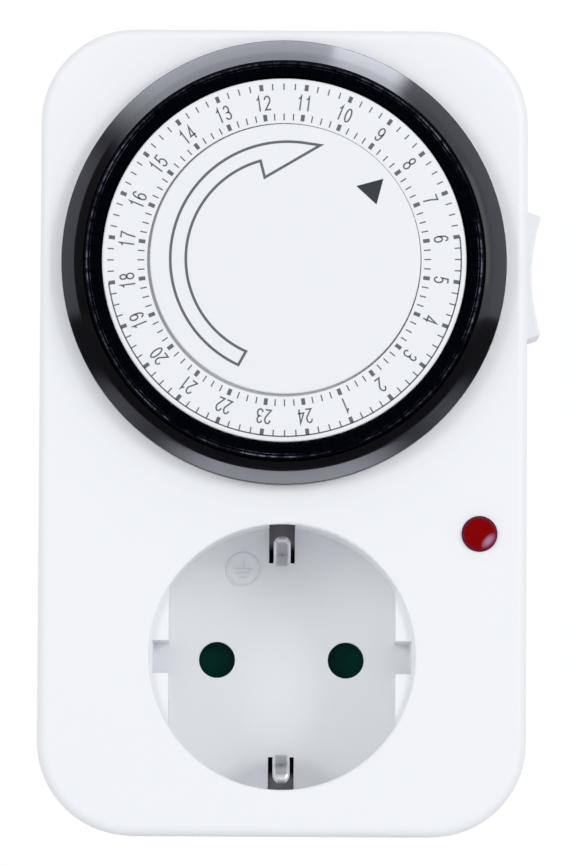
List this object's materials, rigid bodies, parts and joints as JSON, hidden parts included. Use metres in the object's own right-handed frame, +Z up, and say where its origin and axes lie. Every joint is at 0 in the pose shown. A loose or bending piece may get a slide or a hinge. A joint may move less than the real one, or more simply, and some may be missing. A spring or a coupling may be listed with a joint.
{
  "type": "mechanical plug-in timer",
  "caption": "White plug-in mechanical timer: day dial ringed with push-in tappets, side rocker, red lamp, earthed socket in front and matching plug behind.",
  "frame": {"origin": "on the face of the rear plug, midway between its two pins", "axes": "+Y out of the back along the pins, +Z up towards the dial, +X to the right seen from the front"},
  "size_m": [0.0734, 0.08, 0.1175],
  "materials": {
    "white_housing": "fine satin",
    "dial_white": "printed satin",
    "black_gloss": "polished",
    "dark_plastic": "moulded",
    "gear_plastic": "moulded",
    "grey_plastic": "moulded",
    "zinc_steel": "plated",
    "spring_bronze": "rolled",
    "nickel": "plated",
    "copper_winding": "wound and varnished",
    "shutter_green": "moulded",
    "red_lens": "clear red",
    "lamp_glass": "clear",
    "wire_cover": "smooth"
  },
  "bodies": {
    "housing": {"front_housing": "white_housing", "rear_housing": "white_housing", "housing_screws": "zinc_steel", "guard_ring": "black_gloss", "centre_disc": "dial_white", "gear_arbors": "zinc_steel", "movement_plate": "grey_plastic", "plate_screws": "zinc_steel", "motor_can": "zinc_steel", "motor_cover": "zinc_steel", "motor_coil": "copper_winding", "motor_reducer": "dark_plastic", "lever_spring": "zinc_steel", "fixed_contact": "spring_bronze", "plug_pins": "nickel", "plug_insert": "dark_plastic", "contact_sleeves": "spring_bronze", "socket_insert": "dark_plastic", "shutter_spring": "zinc_steel", "earth_bar": "nickel", "earth_clips": "nickel", "plug_earth_contacts": "nickel", "lamp_lens": "red_lens", "neon_lamp": "lamp_glass", "wires": "wire_cover"},
    "dial": {"hour_ring": "dial_white", "dial_drum": "dark_plastic", "dial_gear": "gear_plastic"},
    "rocker": {"override_rocker": "white_housing"},
    "shutter": {"safety_shutter": "shutter_green"},
    "rotor": {"motor_rotor": "zinc_steel"},
    "final_wheel": {"final_gear": "gear_plastic"},
    "middle_wheel": {"middle_gear": "gear_plastic"},
    "output_pinion": {"motor_pinion": "gear_plastic"},
    "lever": {"switch_lever": "grey_plastic"},
    "blade": {"moving_contact": "spring_bronze"},
    "hour_00": {"tappets_00": "black_gloss"},
    "hour_01": {"tappets_01": "black_gloss"},
    "hour_02": {"tappets_02": "black_gloss"},
    "hour_03": {"tappets_03": "black_gloss"},
    "hour_04": {"tappets_04": "black_gloss"},
    "hour_05": {"tappets_05": "black_gloss"},
    "hour_06": {"tappets_06": "black_gloss"},
    "hour_07": {"tappets_07": "black_gloss"},
    "hour_08": {"tappets_08": "black_gloss"},
    "hour_09": {"tappets_09": "black_gloss"},
    "hour_10": {"tappets_10": "black_gloss"},
    "hour_11": {"tappets_11": "black_gloss"},
    "hour_12": {"tappets_12": "black_gloss"},
    "hour_13": {"tappets_13": "black_gloss"},
    "hour_14": {"tappets_14": "black_gloss"},
    "hour_15": {"tappets_15": "black_gloss"},
    "hour_16": {"tappets_16": "black_gloss"},
    "hour_17": {"tappets_17": "black_gloss"},
    "hour_18": {"tappets_18": "black_gloss"},
    "hour_19": {"tappets_19": "black_gloss"},
    "hour_20": {"tappets_20": "black_gloss"},
    "hour_21": {"tappets_21": "black_gloss"},
    "hour_22": {"tappets_22": "black_gloss"},
    "hour_23": {"tappets_23": "black_gloss"}
  },
  "joints": [
    {"name": "dial_turn", "type": "hinge", "parent": "housing", "child": "dial", "pos_m": [0, -0.053, 0.0573], "axis": [0, 1, 0], "continuous": true},
    {"name": "rocker_tilt", "type": "hinge", "parent": "housing", "child": "rocker", "pos_m": [0.0313, -0.038, 0.0566], "axis": [0, 1, 0], "range_deg": [-7, 7]},
    {"name": "shutter_turn", "type": "hinge", "parent": "housing", "child": "shutter", "pos_m": [0, -0.0345, 0], "axis": [0, 1, 0], "range_deg": [0, 40], "stiffness_Nm_per_rad": 0.001, "springref_deg": -17.19, "deforming": ["shutter_spring"]},
    {"name": "rotor_spin", "type": "hinge", "parent": "housing", "child": "rotor", "pos_m": [-0.01248, -0.03, 0.05466], "axis": [0, 1, 0], "continuous": true},
    {"name": "final_gear_turn", "type": "hinge", "parent": "housing", "child": "final_wheel", "pos_m": [-0.01239, -0.0435, 0.03961], "axis": [0, 1, 0], "continuous": true},
    {"name": "middle_gear_turn", "type": "hinge", "parent": "housing", "child": "middle_wheel", "pos_m": [-0.01997, -0.042, 0.0473], "axis": [0, 1, 0], "continuous": true},
    {"name": "motor_pinion_turn", "type": "hinge", "parent": "housing", "child": "output_pinion", "pos_m": [-0.01248, -0.04, 0.05466], "axis": [0, 1, 0], "continuous": true},
    {"name": "lever_swing", "type": "hinge", "parent": "housing", "child": "lever", "pos_m": [0.026, -0.0385, 0.042], "axis": [-1, 0, 0], "range_deg": [0, 10.5], "deforming": ["lever_spring"]},
    {"name": "blade_swing", "type": "hinge", "parent": "housing", "child": "blade", "pos_m": [0.0258, -0.04135, 0.029], "axis": [1, 0, 0], "range_deg": [0, 10.5]},
    {"name": "tappets_00_push", "type": "slide", "parent": "dial", "child": "hour_00", "axis": [0, 1, 0], "range_m": [0, 0.003]},
    {"name": "tappets_01_push", "type": "slide", "parent": "dial", "child": "hour_01", "axis": [0, 1, 0], "range_m": [0, 0.003]},
    {"name": "tappets_02_push", "type": "slide", "parent": "dial", "child": "hour_02", "axis": [0, 1, 0], "range_m": [0, 0.003]},
    {"name": "tappets_03_push", "type": "slide", "parent": "dial", "child": "hour_03", "axis": [0, 1, 0], "range_m": [0, 0.003]},
    {"name": "tappets_04_push", "type": "slide", "parent": "dial", "child": "hour_04", "axis": [0, 1, 0], "range_m": [0, 0.003]},
    {"name": "tappets_05_push", "type": "slide", "parent": "dial", "child": "hour_05", "axis": [0, 1, 0], "range_m": [0, 0.003]},
    {"name": "tappets_06_push", "type": "slide", "parent": "dial", "child": "hour_06", "axis": [0, 1, 0], "range_m": [0, 0.003]},
    {"name": "tappets_07_push", "type": "slide", "parent": "dial", "child": "hour_07", "axis": [0, 1, 0], "range_m": [0, 0.003]},
    {"name": "tappets_08_push", "type": "slide", "parent": "dial", "child": "hour_08", "axis": [0, 1, 0], "range_m": [0, 0.003]},
    {"name": "tappets_09_push", "type": "slide", "parent": "dial", "child": "hour_09", "axis": [0, 1, 0], "range_m": [0, 0.003]},
    {"name": "tappets_10_push", "type": "slide", "parent": "dial", "child": "hour_10", "axis": [0, 1, 0], "range_m": [0, 0.003]},
    {"name": "tappets_11_push", "type": "slide", "parent": "dial", "child": "hour_11", "axis": [0, 1, 0], "range_m": [0, 0.003]},
    {"name": "tappets_12_push", "type": "slide", "parent": "dial", "child": "hour_12", "axis": [0, 1, 0], "range_m": [0, 0.003]},
    {"name": "tappets_13_push", "type": "slide", "parent": "dial", "child": "hour_13", "axis": [0, 1, 0], "range_m": [0, 0.003]},
    {"name": "tappets_14_push", "type": "slide", "parent": "dial", "child": "hour_14", "axis": [0, 1, 0], "range_m": [0, 0.003]},
    {"name": "tappets_15_push", "type": "slide", "parent": "dial", "child": "hour_15", "axis": [0, 1, 0], "range_m": [0, 0.003]},
    {"name": "tappets_16_push", "type": "slide", "parent": "dial", "child": "hour_16", "axis": [0, 1, 0], "range_m": [0, 0.003]},
    {"name": "tappets_17_push", "type": "slide", "parent": "dial", "child": "hour_17", "axis": [0, 1, 0], "range_m": [0, 0.003]},
    {"name": "tappets_18_push", "type": "slide", "parent": "dial", "child": "hour_18", "axis": [0, 1, 0], "range_m": [0, 0.003]},
    {"name": "tappets_19_push", "type": "slide", "parent": "dial", "child": "hour_19", "axis": [0, 1, 0], "range_m": [0, 0.003]},
    {"name": "tappets_20_push", "type": "slide", "parent": "dial", "child": "hour_20", "axis": [0, 1, 0], "range_m": [0, 0.003]},
    {"name": "tappets_21_push", "type": "slide", "parent": "dial", "child": "hour_21", "axis": [0, 1, 0], "range_m": [0, 0.003]},
    {"name": "tappets_22_push", "type": "slide", "parent": "dial", "child": "hour_22", "axis": [0, 1, 0], "range_m": [0, 0.003]},
    {"name": "tappets_23_push", "type": "slide", "parent": "dial", "child": "hour_23", "axis": [0, 1, 0], "range_m": [0, 0.003]}
  ],
  "couplings": [
    {"joint": "final_gear_turn", "follows": "dial_turn", "ratio": -8},
    {"joint": "middle_gear_turn", "follows": "dial_turn", "ratio": 40},
    {"joint": "motor_pinion_turn", "follows": "dial_turn", "ratio": -240},
    {"joint": "lever_swing", "follows": "tappets_05_push", "rad_per_m": 61},
    {"joint": "blade_swing", "follows": "tappets_05_push", "rad_per_m": 61}
  ]
}
